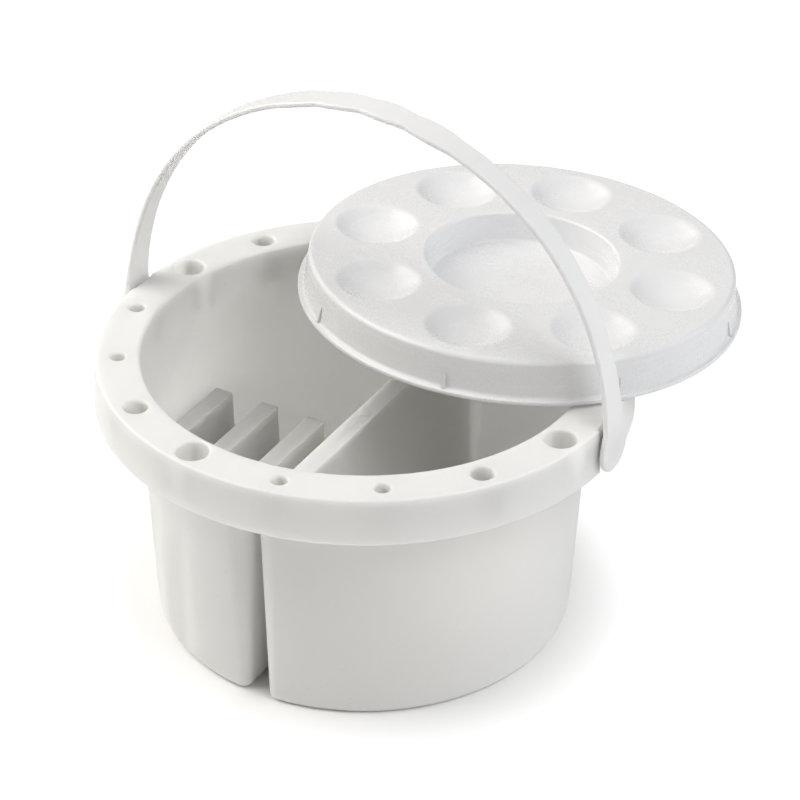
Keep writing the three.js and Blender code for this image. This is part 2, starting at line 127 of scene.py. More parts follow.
PIVOT_HEIGHT = TUB_HEIGHT - 9.0
HANDLE_RISE = 108.1
STRAP_THICKNESS = 2.0
STRAP_EDGE = 0.8
LEG_HEIGHT = 4.0
LEG_LEAN = 0.08
LEG_REACH = 88.4
CROWN_REACH = 25.6
LUG_RADIUS = 9.8
LUG_BLEND = 1.2
STRAP_WIDTH_AT_RIM = 13.8
STRAP_WIDTH_AT_TOP = 10.4
STRAP_TAPER_LENGTH = 13.2
GRIP_LOBES = 4
GRIP_PITCH = 18.0
GRIP_BULGE = 1.0
STUD_RADIUS = 3.2
STUD_CLEARANCE = 0.35
STUD_LIP = 0.9
STUD_LIP_EDGE = 0.6
STUD_TIP = 1.8
RECESS_DEPTH = 1.3
RECESS_WIDTH = 12.6
LUG_GAP = 0.6

LID_HEIGHT = 15.8
LID_TOP_RADIUS = 81.9
LID_SKIRT_RADIUS = 83.2
LID_SKIN = 1.8
LID_FLOOR_SKIN = 1.5
LID_EDGE = 2.0
FLANGE_RADIUS = 85.5
FLANGE_THICKNESS = 1.8
FLANGE_FILLET = 1.5
WELL_COUNT = 8
WELL_RADIUS = 15.7
WELL_DEPTH = 6.0
WELL_LIP_SOFTNESS = 1.1
WELL_RING_RADIUS = 59.9
CENTRE_WELL_RADIUS = 37.0
CENTRE_WELL_DEPTH = 12.0
CENTRE_WELL_EDGE = 1.2
CENTRE_WELL_FILLET = 1.5
GUSSET_WIDTH = 1.4
GUSSET_HEIGHT = 6.0
GUSSET_REACH = 1.3

LID_OFFSET = 73.1
LID_DIRECTION = math.radians(65.75)
FIRST_WELL_DIRECTION = math.radians(8.06)
REST_GAP = 0.3

BAND_BOTTOM = TUB_HEIGHT - BAND_HEIGHT
CHANNEL_TOP = TUB_HEIGHT - RIM_TOP
SLOT_ROOF = DIVIDER_TOP - WALL
LUG_INSIDE = RIM_RADIUS + BAND_DRAFT * BAND_HEIGHT + LUG_GAP
SPRINGING = PIVOT_HEIGHT + LEG_HEIGHT


def inside_radius(z):
    return OPENING_RADIUS - WALL_DRAFT * (TUB_HEIGHT - z)


def band_radius(z):
    return RIM_RADIUS + BAND_DRAFT * (TUB_HEIGHT - z)


def divider_half(z):
    return DIVIDER_WIDTH / 2 + DIVIDER_DRAFT * (DIVIDER_TOP - z)


print("tub height:", TUB_HEIGHT, "mm, rim:", 2 * RIM_RADIUS, "mm wide")

# %% [markdown]
# ## Tools for smooth moulded shapes
#
# Moulded plastic is made of a few kinds of surface. A revolve turns a profile about the tub's
# axis, and a loft passes a skin through a stack of outlines. The outlines here have far more
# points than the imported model, because a highlight on a glossy edge shows every flat facet.
#
# A shape is a pair of points, in millimetres, and faces.

# %% Arcs, revolves and lofts
ROUND = 256
SMALL_ROUND = 48


def arc(x, y, radius, start, end, steps):
    """Points on a circle about (x, y) between two angles in degrees, both ends included."""
    angles = np.radians(np.linspace(start, end, steps + 1))
    return np.stack([x + radius * np.cos(angles), y + radius * np.sin(angles)], 1)


def bridge(rings):
    """Faces between rings of vertex numbers; a ring of one number is a tip."""
    faces = []
    for low, high in zip(rings, rings[1:]):
        count = max(len(low), len(high))
        for i in range(count):
            j = (i + 1) % count
            if len(low) == 1:
                faces.append((low[0], high[j], high[i]))
            elif len(high) == 1:
                faces.append((low[i], low[j], high[0]))
            else:
                faces.append((low[i], low[j], high[j], high[i]))
    return faces


def revolve(profile, facets):
    """A solid turned about Z from (radius, height) points that start and end on the axis."""
    angles = 2 * np.pi * np.arange(facets) / facets
    turns = np.stack([np.cos(angles), np.sin(angles)], 1)
    points, rings = [], []
    for radius, z in profile:
        start = len(points)
        if radius < 1e-6:
            points.append((0.0, 0.0, z))
            rings.append([start])
        else:
            points.extend((radius * c, radius * s, z) for c, s in turns)
            rings.append(list(range(start, start + facets)))
    return np.array(points), bridge(rings)


def loft(levels):
    """A closed skin through (outline, height) pairs from the lowest up."""
    points, rings = [], []
    for outline, z in levels:
        start = len(points)
        points.extend((x, y, z) for x, y in outline)
        rings.append(list(range(start, len(points))))
    faces = bridge(rings) + [tuple(rings[0][::-1]), tuple(rings[-1])]
    return np.array(points), faces


def block(low, high):
    """A box between two corners."""
    (x0, y0, z0), (x1, y1, z1) = low, high
    outline = [(x0, y0), (x1, y0), (x1, y1), (x0, y1)]
    return loft([(outline, z0), (outline, z1)])


def together(shapes):
    """Several shapes as one, without joining their surfaces."""
    points, faces, start = [], [], 0
    for shape_points, shape_faces in shapes:
        points.append(np.asarray(shape_points, float))
        faces += [tuple(start + i for i in face) for face in shape_faces]
        start += len(shape_points)
    return np.concatenate(points), faces


def moved(shape, offset=(0, 0, 0), turn=0.0):
    """A shape turned about Z and then shifted."""
    points, faces = shape
    c, s = math.cos(turn), math.sin(turn)
    turned = np.array(points) @ np.array([[c, s, 0], [-s, c, 0], [0, 0, 1]])
    return turned + np.array(offset), faces


def along_x(shape, outward, height):
    """A shape made about Z, laid down so that its +Z points along outward (1 or -1) on X."""
    points, faces = shape
    x, y, z = np.array(points).T
    return np.stack([outward * z, outward * y, height - x], 1), faces


print("points round the tub:", ROUND, "and round a socket:", SMALL_ROUND)

# %% [markdown]
# ### Objects and booleans
#
# A boolean joins or cuts two closed solids, and each one prints how much plastic is left, which
# shows at once when a cut has failed.
#
# Normals are weighted by face area. A cut leaves long thin faces beside large flat ones, and
# without the weighting the large faces would be shaded as if they were bent.

# %% Objects and booleans
def as_object(name, shape):
    """A shape in millimetres from the tub's axis as an object in metres."""
    points, faces = shape
    mesh = bpy.data.meshes.new(name)
    mesh.from_pydata((np.asarray(points) * MM + AXIS).tolist(), [], faces)
    mesh.validate()
    mesh.update()
    piece = bpy.data.objects.new(name, mesh)
    bpy.context.scene.collection.objects.link(piece)
    return piece


def volume(piece):
    """A piece's volume in millilitres."""
    solid = bmesh.new()
    solid.from_mesh(piece.data)
    millilitres = solid.calc_volume() * 1e6
    solid.free()
    return millilitres


def shape_of(piece):
    """An object's mesh as a shape in millimetres again; the object is removed."""
    points = np.empty(3 * len(piece.data.vertices))
    piece.data.vertices.foreach_get("co", points)
    faces = [tuple(face.vertices) for face in piece.data.polygons]
    bpy.data.objects.remove(piece)
    return (points.reshape(-1, 3) - AXIS) / MM, faces


def combine(piece, shapes, operation):
    """Joins closed shapes to a piece, or cuts them from it or down to them."""
    tools = bpy.data.collections.new("tools")
    for i, shape in enumerate(shapes):
        tool = as_object("tool_%d" % i, shape)
        bpy.context.scene.collection.objects.unlink(tool)
        tools.objects.link(tool)
    bpy.context.scene.collection.children.link(tools)
    step = piece.modifiers.new("combine", "BOOLEAN")
    step.operation = operation
    step.operand_type = "COLLECTION"
    step.collection = tools
    step.solver = "MANIFOLD"
    bpy.context.view_layer.update()
    result = bpy.data.meshes.new_from_object(
        piece.evaluated_get(bpy.context.evaluated_depsgraph_get())
    )
    piece.modifiers.clear()
    piece.data = result
    for tool in list(tools.objects):
        bpy.data.objects.remove(tool)
    bpy.data.collections.remove(tools)
    print("%s, %s of %d: %.1f ml of plastic" % (piece.name, operation, len(shapes), volume(piece)))
    return piece


def smoothed(piece, sharp_degrees=34):
    """Smooth shading, kept sharp at edges over an angle, with normals weighted by area."""
    piece.data.shade_smooth()
    piece.data.set_sharp_from_angle(angle=math.radians(sharp_degrees))
    weighting = piece.modifiers.new("weighted_normals", "WEIGHTED_NORMAL")
    weighting.keep_sharp = True
    return piece


print("tools for objects and booleans ready")


# %% [markdown]
# ## The tub
#
# The tub is one injection moulding. Its upper part is a plain ring: a round wall, a flat rim and
# an outer band that hangs down, with a hollow channel between band and wall. Below the divider's
# top strip the ring splits into two cups. Seen from below, a wedge-shaped slot runs between the
# cups from front to back, and it is the divider's inside. Every wall has one thickness, as in a
# real moulding, where thick places would sink as they cool.
#
# The outline of a cup is a circle cut off along the divider with two rounded corners. The
# corners are tighter at the foot, which is why the front corner looks crisp at the bottom and
# soft under the band. The curved part of the outline uses the same angles as the revolve, so the
# cup's wall and the round wall above it lie in the same faces and no seam shows inside.

# %% Cup outlines
# Angles of the revolve that a cup's curved wall takes over on each side of its middle.
GRID = 2 * np.pi / ROUND
SHARED_ANGLES = 57


def cup_outline(side, z, grow):
    """A cup's inside outline at a height, grown by some millimetres; side is 1 or -1."""
    radius = inside_radius(z) + grow
    flat = divider_half(z) - grow
    blend = CUP_CORNER_AT_FOOT + (CUP_CORNER_AT_DIVIDER_TOP - CUP_CORNER_AT_FOOT) * z / DIVIDER_TOP
    corner = max(blend + grow, 0.5)
    x = flat + corner
    y = math.sqrt((radius - corner) ** 2 - x**2)
    reach = math.degrees(math.atan2(y, x))
    shared = np.arange(-SHARED_ANGLES, SHARED_ANGLES + 1) * GRID
    curve = np.stack([radius * np.cos(shared), radius * np.sin(shared)], 1)
    points = np.concatenate(
        [
            curve,
            arc(x, y, corner, reach, 180, 10),
            arc(x, -y, corner, 180, 360 - reach, 10),
        ]
    )
    return points if side > 0 else (points * [-1, 1])[::-1]


def cup_solid(side, bottom, top, grow, rounding):
    """A cup as a solid with a rounded edge at the bottom."""
    edge = arc(grow - rounding, bottom + rounding, rounding, -90, 0, 8)
    levels = [(cup_outline(side, z, g), z) for g, z in edge]
    levels.append((cup_outline(side, top, grow), top))
    return loft(levels)


def rib_bar(index, inset, bottom):
    """A rib that runs on through the tub's wall, smaller all round by the inset."""
    centre = -FIRST_RIB_FROM_CENTRE - RIB_PITCH * index
    levels = []
    for z in (bottom, RIB_TOP - inset):
        lean = RIB_DRAFT * (RIB_TOP - z) - inset
        half = RIB_WIDTH / 2 + lean
        end = RIB_END + lean
        front = -OPENING_RADIUS - WALL
        outline = [
            (centre - half, front),
            (centre + half, front),
            (centre + half, end),
            (centre - half, end),
        ]
        levels.append((outline, z))
    return loft(levels)


print("points in a cup outline:", len(cup_outline(1, 50, 0)))

# %% [markdown]
# ### The ring and its round space
#
# The ring is turned as a solid block whose underside is the roof of the slot, and the round
# space inside it is a second turned shape that will be cut away. Both carry the roundings of the
# rim's two edges.

# %% The ring
upper_profile = np.concatenate(
    [
        [(0, SLOT_ROOF), (inside_radius(SLOT_ROOF) + WALL, SLOT_ROOF)],
        [(inside_radius(CHANNEL_TOP) + WALL, CHANNEL_TOP)],
        [(band_radius(CHANNEL_TOP) - BAND_WALL, CHANNEL_TOP)],
        [(band_radius(BAND_BOTTOM) - BAND_WALL, BAND_BOTTOM)],
        arc(band_radius(BAND_BOTTOM) - BAND_EDGE, BAND_BOTTOM + BAND_EDGE, BAND_EDGE, -90, 0, 5),
        arc(RIM_RADIUS - RIM_OUTER_EDGE, TUB_HEIGHT - RIM_OUTER_EDGE, RIM_OUTER_EDGE, 3, 90, 7),
        [(0, TUB_HEIGHT)],
    ]
)
inner_edge = arc(
    OPENING_RADIUS + RIM_INNER_EDGE, TUB_HEIGHT - RIM_INNER_EDGE, RIM_INNER_EDGE, 177, 90, 8
)
round_space = revolve(
    np.concatenate(
        [
            [(0, DIVIDER_TOP), (inside_radius(DIVIDER_TOP), DIVIDER_TOP)],
            inner_edge,
            [(OPENING_RADIUS + RIM_INNER_EDGE, TUB_HEIGHT + 1), (0, TUB_HEIGHT + 1)],
        ]
    ),
    ROUND,
)
print("points in the ring's profile:", len(upper_profile))

# %% [markdown]
# ### The brush sockets
#
# Sixteen sockets in three widths hang in the channel as thin tubes. A socket's mouth is rounded
# over, so its cutter flares out like a trumpet at the top.

# %% The brush sockets
socket_count = 2 * len(SOCKET_DIAMETERS)
socket_floor = TUB_HEIGHT - SOCKET_DEPTH
tubes, bores = [], []
for i in range(socket_count):
    angle = (i + 0.5) / socket_count * 2 * math.pi
    radius = SOCKET_DIAMETERS[i % len(SOCKET_DIAMETERS)] / 2
    place = (SOCKET_RING_RADIUS * math.cos(angle), SOCKET_RING_RADIUS * math.sin(angle), 0)
    tube_profile = [
        (0, socket_floor - SOCKET_WALL),
        (radius + SOCKET_WALL, socket_floor - SOCKET_WALL),
        (radius + SOCKET_WALL, CHANNEL_TOP + RIM_TOP / 2),
        (0, CHANNEL_TOP + RIM_TOP / 2),
    ]
    bore_profile = np.concatenate(
        [
            [(0, socket_floor), (radius, socket_floor)],
            arc(radius + SOCKET_MOUTH, TUB_HEIGHT - SOCKET_MOUTH, SOCKET_MOUTH, 180, 90, 7),
            [(radius + SOCKET_MOUTH, TUB_HEIGHT + 1), (0, TUB_HEIGHT + 1)],
        ]
    )
    tubes.append(moved(revolve(tube_profile, SMALL_ROUND), place, angle))
    bores.append(moved(revolve(bore_profile, SMALL_ROUND), place, angle))
print("brush sockets:", len(bores))

# %% [markdown]
# ### Where the handle is held
#
# At each side the band has a flat recess for the handle's lug, with a thicker pad behind it and
# a hole through both for the stud.

# %% Pads and recesses
recess_floor = RIM_RADIUS - RECESS_DEPTH
pad_inside = recess_floor - BAND_WALL
half_recess = RECESS_WIDTH / 2
hole_radius = STUD_RADIUS + STUD_CLEARANCE
pads, pivot_cuts = [], []
for outward in (1, -1):
    turn = 0 if outward > 0 else math.pi
    pad = block(
        (pad_inside, -half_recess - BAND_WALL, BAND_BOTTOM),
        (recess_floor + RECESS_DEPTH / 2, half_recess + BAND_WALL, CHANNEL_TOP + 1),
    )
    flat = block(
        (recess_floor, -half_recess, BAND_BOTTOM - 1),
        (LUG_INSIDE, half_recess, TUB_HEIGHT + 1),
    )
    hole_profile = [
        (0, pad_inside - 1),
        (hole_radius, pad_inside - 1),
        (hole_radius, LUG_INSIDE + 1),
        (0, LUG_INSIDE + 1),
    ]
    pads.append(moved(pad, turn=turn))
    pivot_cuts.append(moved(flat, turn=turn))
    pivot_cuts.append(along_x(revolve(hole_profile, SMALL_ROUND), outward, PIVOT_HEIGHT))
print("stud holes: %.1f mm wide" % (2 * hole_radius))

# %% [markdown]
# ### Building it up and cutting it open
#
# First the solid body is joined from the turned ring, the two cups, the sockets' tubes and the
# two pads. Then the insides are cut out: the round space, the two cups, and the brush sockets.
# The ribs are cut to the cup's own outline before they are joined, so they grow out of the wall
# and never poke through it. A faint round mark in the middle of the divider shows where the
# plastic ran into the mould.

# %% The tub's body
tub = as_object("tub_body", revolve(upper_profile, ROUND))
cups = [cup_solid(side, 0, SLOT_ROOF + 1, WALL, FOOT_ROUNDING) for side in (1, -1)]
combine(tub, cups + tubes + pads, "UNION")
spaces = [cup_solid(side, FLOOR, DIVIDER_TOP + 1, 0, FLOOR_ROUNDING) for side in (1, -1)]
combine(tub, [round_space] + spaces, "DIFFERENCE")

ribs = as_object("ribs", together([rib_bar(i, 0, FLOOR / 2) for i in range(RIB_COUNT)]))
combine(ribs, [cup_solid(-1, FLOOR / 2, DIVIDER_TOP, WALL / 2, FLOOR_ROUNDING)], "INTERSECT")
hollows = as_object("hollows", together([rib_bar(i, WALL, -1) for i in range(RIB_COUNT)]))
inside_foot = loft([(cup_outline(-1, z, -FOOT_ROUNDING), z) for z in (-2, DIVIDER_TOP)])
combine(hollows, [inside_foot], "INTERSECT")
combine(tub, [shape_of(ribs)], "UNION")
gate_profile = [
    (0, DIVIDER_TOP - 0.5),
    (GATE_DIAMETER / 2, DIVIDER_TOP - 0.5),
    (GATE_DIAMETER / 2, DIVIDER_TOP + 0.12),
    (GATE_DIAMETER / 2 - 0.3, DIVIDER_TOP + GATE_HEIGHT),
    (0, DIVIDER_TOP + GATE_HEIGHT),
]
combine(tub, [revolve(gate_profile, SMALL_ROUND)], "UNION")
combine(tub, [shape_of(hollows)] + bores + pivot_cuts, "DIFFERENCE")
smoothed(tub)
print("tub faces:", len(tub.data.polygons))

# %% [markdown]
# ## The handle
#
# The bail is a thin strap. Its round lugs stand a little off the rim, the legs lean in and widen
# towards the lugs, and the edges swell and pinch along the grip so that fingers find their
# place. Its line is a cubic curve from each lug to the crown. A bent strap isn't an ellipse, and
# the curve's two handles say directly how long the leg stays straight and how flat the crown is.
#
# The strap is a loft of rounded rectangles along that line. Their width is a formula of the
# height, and towards the lug's end they shrink like the chords of a circle, which closes the
# round end without a seam.

# %% The handle's strap
middle_line = STRAP_THICKNESS / 2
grip_half = GRIP_LOBES * GRIP_PITCH / 2
crown = PIVOT_HEIGHT + HANDLE_RISE
controls = np.array(
    [
        (LUG_INSIDE, SPRINGING),
        (LUG_INSIDE - LEG_LEAN * LEG_REACH, SPRINGING + LEG_REACH),
        (CROWN_REACH, crown),
        (0.0, crown),
    ]
)


def strap_half_width(x, z):
    """Half the strap's width: a circle's chord in the lug, blended into the tapering strap."""
    above = z - PIVOT_HEIGHT
    chord = math.sqrt(max(LUG_RADIUS**2 - above**2, 0.0))
    if above < 0:
        return chord
    kept = math.exp((TUB_HEIGHT - z) / STRAP_TAPER_LENGTH)
    strap = (STRAP_WIDTH_AT_TOP + (STRAP_WIDTH_AT_RIM - STRAP_WIDTH_AT_TOP) * kept) / 2
    if abs(x) < grip_half:
        # The small addend rounds the pinches between the grip's lobes.
        strap += GRIP_BULGE * (math.sin(math.pi * x / GRIP_PITCH) ** 2 + 0.002) ** 0.5
    blend = max(LUG_BLEND - abs(strap - chord), 0.0)
    return max(strap, chord) + blend**2 / (4 * LUG_BLEND)


def rounded_rectangle(half_width, half_depth, corner, steps=6):
    """An outline of (depth, width) points about the middle."""
    corner = min(corner, 0.95 * half_width, 0.95 * half_depth)
    quarters = [
        arc(half_depth - corner, half_width - corner, corner, 0, 90, steps),
        arc(corner - half_depth, half_width - corner, corner, 90, 180, steps),
        arc(corner - half_depth, corner - half_width, corner, 180, 270, steps),
        arc(half_depth - corner, corner - half_width, corner, 270, 360, steps),
    ]
    return np.concatenate(quarters)


lug_heights = PIVOT_HEIGHT - LUG_RADIUS * np.cos(np.radians(np.linspace(2, 112, 46)))
stations = [(LUG_INSIDE + middle_line, z, 1.0, 0.0) for z in lug_heights]
for t in np.linspace(0, 1, 181):
    weights = np.array([(1 - t) ** 3, 3 * (1 - t) ** 2 * t, 3 * (1 - t) * t**2, t**3])
    slopes = np.array([-((1 - t) ** 2), (1 - t) * (1 - 3 * t), t * (2 - 3 * t), t**2])
    x, z = weights @ controls
    along = Vector(slopes @ controls).normalized()
    stations.append((x + middle_line * along.y, z - middle_line * along.x, along.y, -along.x))
stations += [(-x, z, -out_x, out_z) for x, z, out_x, out_z in stations[-2::-1]]

strap_points, strap_rings = [], []
for x, z, out_x, out_z in stations:
    from_end = min(z - (PIVOT_HEIGHT - LUG_RADIUS), STRAP_EDGE)
    closing = math.sqrt(STRAP_EDGE**2 - (STRAP_EDGE - from_end) ** 2)
    half_depth = middle_line - STRAP_EDGE + closing
    start = len(strap_points)
    for depth, across in rounded_rectangle(strap_half_width(x, z), half_depth, STRAP_EDGE):
        strap_points.append((x + out_x * depth, across, z + out_z * depth))
    strap_rings.append(list(range(start, len(strap_points))))
strap_faces = bridge(strap_rings) + [tuple(strap_rings[0][::-1]), tuple(strap_rings[-1])]
strap = (np.array(strap_points), strap_faces)
print("rings along the strap:", len(strap_rings))

# %% [markdown]
# ### The studs
#
# A stud on the inside of each lug goes through the rim's hole and holds behind it with a lip.

# %% The studs and the finished handle
lip = pad_inside - REST_GAP
stud_profile = [
    (0, lip - STUD_TIP),
    (STUD_RADIUS - STUD_LIP, lip - STUD_TIP),
    (STUD_RADIUS + STUD_LIP, lip - STUD_LIP_EDGE),
    (STUD_RADIUS + STUD_LIP, lip),
    (STUD_RADIUS, lip),
    (STUD_RADIUS, LUG_INSIDE + middle_line),
    (0, LUG_INSIDE + middle_line),
]
studs = [along_x(revolve(stud_profile, SMALL_ROUND), side, PIVOT_HEIGHT) for side in (1, -1)]
handle = smoothed(as_object("bail_handle", together([strap] + studs)), 40)
print("handle faces:", len(handle.data.polygons))

# %% [markdown]
# ## The palette lid
#
# The lid is a thin shell: a flat top with eight shallow dishes round a deep flat well, a skirt
# that flares a little, and a narrow seating flange. One turned profile gives all but the dishes
# and the gussets. It runs from the middle of the underside out to the flange and back over the
# top, and its flat parts are finely divided, so that the dishes can be pressed into them.

# %% The lid's shell
well_floor = LID_HEIGHT - CENTRE_WELL_DEPTH
floor_underside = well_floor - LID_FLOOR_SKIN
under_top = LID_HEIGHT - LID_SKIN
floor_radius = CENTRE_WELL_RADIUS - 1.0
under_well_radius = CENTRE_WELL_RADIUS + LID_SKIN
flange_edge = FLANGE_THICKNESS / 3


def straight(start, end, step):
    """Points from start to end, about a step apart, without the end point."""
    start, end = np.array(start, float), np.array(end, float)
    count = max(int(np.linalg.norm(end - start) / step), 1)
    return start + (end - start) * (np.arange(count) / count)[:, None]


lid_profile = np.concatenate(
    [
        [(0, floor_underside)],
        straight((6, floor_underside), (floor_radius + 0.9, floor_underside), 6),
        straight((floor_radius + 0.9, floor_underside), (under_well_radius, under_top), 3),
        straight((under_well_radius, under_top), (LID_TOP_RADIUS - LID_SKIN, under_top), 0.9),
        straight((LID_TOP_RADIUS - LID_SKIN, under_top), (LID_SKIRT_RADIUS - LID_SKIN, 0), 3),
        arc(FLANGE_RADIUS - flange_edge, flange_edge, flange_edge, -90, 0, 4),
        arc(FLANGE_RADIUS - flange_edge, FLANGE_THICKNESS - flange_edge, flange_edge, 0, 90, 4),
        arc(
            LID_SKIRT_RADIUS + FLANGE_FILLET,
            FLANGE_THICKNESS + FLANGE_FILLET,
            FLANGE_FILLET,
            270,
            184,
            8,
        ),
        arc(LID_TOP_RADIUS - LID_EDGE, LID_HEIGHT - LID_EDGE, LID_EDGE, 4, 90, 9),
        straight(
            (LID_TOP_RADIUS - LID_EDGE - 0.4, LID_HEIGHT),
            (CENTRE_WELL_RADIUS + CENTRE_WELL_EDGE + 0.4, LID_HEIGHT),
            0.42,
        ),
        arc(
            CENTRE_WELL_RADIUS + CENTRE_WELL_EDGE,
            LID_HEIGHT - CENTRE_WELL_EDGE,
            CENTRE_WELL_EDGE,
            90,
            176,
            7,
        ),
        arc(
            floor_radius - CENTRE_WELL_FILLET,
            well_floor + CENTRE_WELL_FILLET,
            CENTRE_WELL_FILLET,
            -4,
            -90,
            7,
        ),
        straight((30, well_floor), (3, well_floor), 6),
        [(0, well_floor)],
    ]
)
lid_points, lid_faces = revolve(lid_profile, 480)
print("points of the lid's shell:", len(lid_points))

# %% [markdown]
# ### The dishes
#
# On the real lid the dishes have soft lips, so the top isn't cut with balls. Its points are
# pressed down to the lower of the plane and the ball, with a smooth minimum between the two.
# The rounding distance of that minimum is the softness of the lip. The underside is pressed the
# same way with a ball that is larger by the shell's thickness.

# %% The dishes
ball_radius = (WELL_RADIUS**2 + WELL_DEPTH**2) / (2 * WELL_DEPTH)
ball_centre = LID_HEIGHT - WELL_DEPTH + ball_radius


def pressed(points, plane, radius, softness):
    """Points on a plane pressed down into the eight dishes of a ball radius."""
    x, y, z = points.T
    bearing = np.arctan2(y, x)
    nearest = np.round(bearing / (2 * np.pi / WELL_COUNT)) * (2 * np.pi / WELL_COUNT)
    from_well = np.hypot(
        x - WELL_RING_RADIUS * np.cos(nearest), y - WELL_RING_RADIUS * np.sin(nearest)
    )
    dish = ball_centre - np.sqrt(np.maximum(radius**2 - from_well**2, 0))
    dish = np.where(from_well < 0.98 * radius, dish, plane + 10)
    overlap = np.maximum(softness - np.abs(dish - plane), 0) / softness
    return np.minimum(dish, plane) - overlap**2 * softness / 4


radii = np.hypot(lid_points[:, 0], lid_points[:, 1])
on_top = (
    (np.abs(lid_points[:, 2] - LID_HEIGHT) < 1e-6)
    & (radii > CENTRE_WELL_RADIUS + CENTRE_WELL_EDGE + 0.1)
    & (radii < LID_TOP_RADIUS - LID_EDGE - 0.1)
)
lid_points[on_top, 2] = pressed(
    lid_points[on_top], LID_HEIGHT, ball_radius, WELL_LIP_SOFTNESS
)
on_under = (
    (np.abs(lid_points[:, 2] - under_top) < 1e-6)
    & (radii > under_well_radius + 0.1)
    & (radii < LID_TOP_RADIUS - LID_SKIN - 0.1)
)
lid_points[on_under, 2] = pressed(
    lid_points[on_under], under_top, ball_radius + LID_SKIN, WELL_LIP_SOFTNESS
)
print("points pressed down:", int(on_top.sum()), "above and", int(on_under.sum()), "below")

# %% [markdown]
# ### Gussets, and the lid's place on the rim
#
# Eight small gussets stiffen the skirt where it meets the flange, one under each dish. They are
# slim wedges, and in the picture two of them show as pale ticks along the skirt.
#
# The lid rests on three points. Its flange crosses the rim's outer edge twice, and farther out
# the underside of the centre well comes down on the same edge. The tilt and the height follow
# from those three points, so the lid really sits on the tub.

# %% The lid in place
def gusset_outline(reach, half_width):
    inside, outside = LID_SKIRT_RADIUS - 1.2, LID_SKIRT_RADIUS + reach
    return [
        (inside, -half_width),
        (outside, -half_width),
        (outside, half_width),
        (inside, half_width),
    ]


foot = gusset_outline(GUSSET_REACH, GUSSET_WIDTH / 2)
tip = gusset_outline(-0.3, GUSSET_WIDTH / 8)
wedge = loft(
    [
        (foot, FLANGE_THICKNESS / 2),
        (foot, FLANGE_THICKNESS + 0.2),
        (tip, FLANGE_THICKNESS + GUSSET_HEIGHT),
    ]
)
gussets = [moved(wedge, turn=2 * math.pi * i / WELL_COUNT) for i in range(WELL_COUNT)]

rim_edge = RIM_RADIUS - RIM_OUTER_EDGE
crossing = (rim_edge**2 - FLANGE_RADIUS**2 + LID_OFFSET**2) / (2 * LID_OFFSET)
tilt = math.asin(floor_underside / (rim_edge - crossing))
lid_height = TUB_HEIGHT + REST_GAP - math.tan(tilt) * (LID_OFFSET - crossing)

points, faces = moved(
    together([(lid_points, lid_faces)] + gussets), turn=FIRST_WELL_DIRECTION - LID_DIRECTION
)
x, y, z = points.T
tilted = np.stack(
    [
        x * math.cos(tilt) + z * math.sin(tilt) + LID_OFFSET,
        y,
        -x * math.sin(tilt) + z * math.cos(tilt) + lid_height,
    ],
    1,
)
lid = smoothed(as_object("lid_with_wells", moved((tilted, faces), turn=LID_DIRECTION)), 40)
print("lid tilt: %.2f degrees, faces: %d" % (math.degrees(tilt), len(lid.data.polygons)))

# %% [markdown]
# ## Which piece rides on which body
#
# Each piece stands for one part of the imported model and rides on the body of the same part. The
# handle swings about its studs and the lid is drawn away, so each has a body of its own.

# %% Bodies
for piece, body in ((tub, "tub"), (handle, "handle"), (lid, "palette_lid")):
    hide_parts(body)
    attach(piece, body)
print("pieces:", tub.name, handle.name, lid.name)

# %% [markdown]
# ## Arithmetic on surfaces
#
# A finish is a formula over the surface, so it is easier to read as one. This small class wraps
# an output of a shader node and lets plain arithmetic add the nodes. Numbers can stand on
# either side of the sign. One method makes every other kind of node.

# %% Shader arithmetic
class Field:
    """A value that varies over a surface."""

    def __init__(self, tree, socket):
        self.tree = tree
        self.socket = socket

    def math(self, operation, *others):
        return node(self.tree, "ShaderNodeMath", {"operation": operation}, [self, *others])

    def __add__(self, other):
        return self.math("ADD", other)

    def __mul__(self, other):
        return self.math("MULTIPLY", other)

    def __sub__(self, other):
        return self.math("SUBTRACT", other)

    def __truediv__(self, other):
        return self.math("DIVIDE", other)

    def __pow__(self, other):
        return self.math("POWER", other)

    def __rsub__(self, other):
        return self * -1.0 + other

    def __rtruediv__(self, other):
        return self**-1.0 * other

    __radd__ = __add__
    __rmul__ = __mul__

    def step(self, low, high):
        """0 below low, 1 above high, and smooth between them."""
        settings = {"interpolation_type": "SMOOTHSTEP"}
        return node(self.tree, "ShaderNodeMapRange", settings, {0: self, 1: low, 2: high})


def node(tree, kind, settings=None, inputs=(), output=0):
    """Adds a node; inputs are values or fields, by position or by name. Gives its output."""
    made = tree.nodes.new(kind)
    for key, value in (settings or {}).items():
        setattr(made, key, value)
    pairs = inputs.items() if isinstance(inputs, dict) else enumerate(inputs)
    for key, value in pairs:
        if isinstance(value, Field):
            tree.links.new(value.socket, made.inputs[key])
        else:
            made.inputs[key].default_value = value
    return Field(tree, made.outputs[output]) if made.outputs else None


def mix_colour(tree, factor, first, second):
    return node(
        tree, "ShaderNodeMix", {"data_type": "RGBA"}, {0: factor, 6: first, 7: second}, output=2
    )


print("shader arithmetic ready")

# %% [markdown]
# ## White plastic
#
# All three mouldings are white, but not alike. The tub is a warm white with a satin skin, and
# light goes deep into it. The handle is a little cooler, and the lid is the glossiest.
#
# A new moulding is clean, so its detail is quiet. The skin of the mould leaves a fine grain and a
# slow waviness, which break up the highlights. The colour drifts by a few parts in a hundred,
# where the plastic was thicker or cooled later. A few grains of dust lie on it, and fine
# rubbing marks make it a little duller in streaks. Light enters white plastic and comes out a few
# millimetres away, which keeps its shadows soft, so there is scattering below the surface. Edges
# that the tub's booleans leave sharp are rounded where the light falls on them. The strap and
# the lid have their roundings in the mesh.

